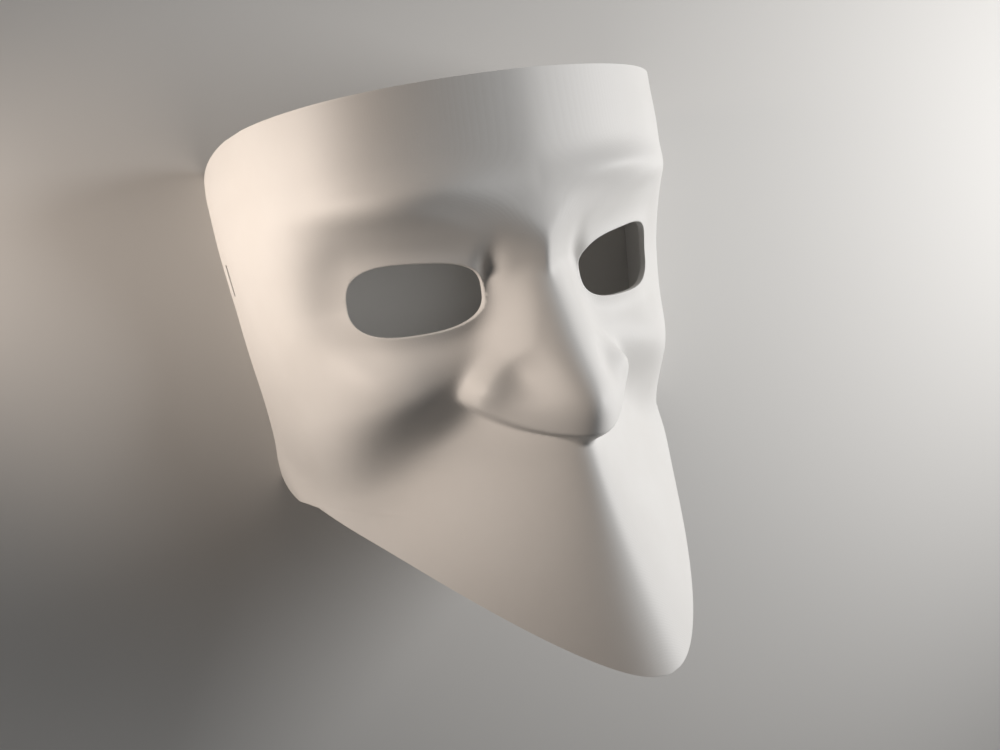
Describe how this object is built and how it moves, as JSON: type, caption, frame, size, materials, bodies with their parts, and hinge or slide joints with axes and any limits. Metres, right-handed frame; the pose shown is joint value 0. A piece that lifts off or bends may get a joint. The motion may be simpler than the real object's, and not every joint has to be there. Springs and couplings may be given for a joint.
{
  "type": "carnival mask",
  "caption": "Stiff full-face carnival mask with eye holes, a straight nose and a jutting V-shaped prow over the mouth and chin, open below for speaking and drinking.",
  "frame": {"origin": "middle of the mask's width and length, on the plane of its flat back edge", "axes": "+X across the face to the viewer's right, +Y from the chin to the forehead, +Z out of the face; the mask lies face up on its back edge"},
  "size_m": [0.1614, 0.1584, 0.1252],
  "materials": {
    "white_plastic": "matt white, fine layer lines"
  },
  "bodies": {
    "root": {"mask_shell": "white_plastic"}
  },
  "joints": []
}
